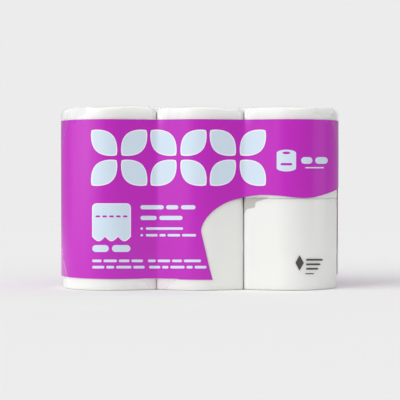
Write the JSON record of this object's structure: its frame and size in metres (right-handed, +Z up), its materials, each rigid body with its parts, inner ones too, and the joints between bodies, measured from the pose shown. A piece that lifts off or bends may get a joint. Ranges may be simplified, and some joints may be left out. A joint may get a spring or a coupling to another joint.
{
  "type": "toilet paper roll pack",
  "caption": "Upright pack of toilet paper rolls on cardboard cores, in thin clear film with a wide purple printed band, folded and sealed at both ends.",
  "frame": {"origin": "middle of the face that the pack stands on", "axes": "+X along the row of rolls, to the right seen from the front; -Y out of the printed front; +Z up along the rolls' axes"},
  "size_m": [0.3156, 0.1137, 0.2042],
  "materials": {
    "tissue": "soft matte tissue, wound in fine turns",
    "core_card": "plain grey-brown spiral wound board",
    "printed_film": "thin clear glossy film with a purple printed band"
  },
  "bodies": {
    "root": {"roll_lower_left": "tissue", "roll_lower_middle": "tissue", "roll_lower_right": "tissue", "roll_upper_left": "tissue", "roll_upper_middle": "tissue", "roll_upper_right": "tissue", "cardboard_cores": "core_card", "film_wrap": "printed_film"}
  },
  "joints": []
}
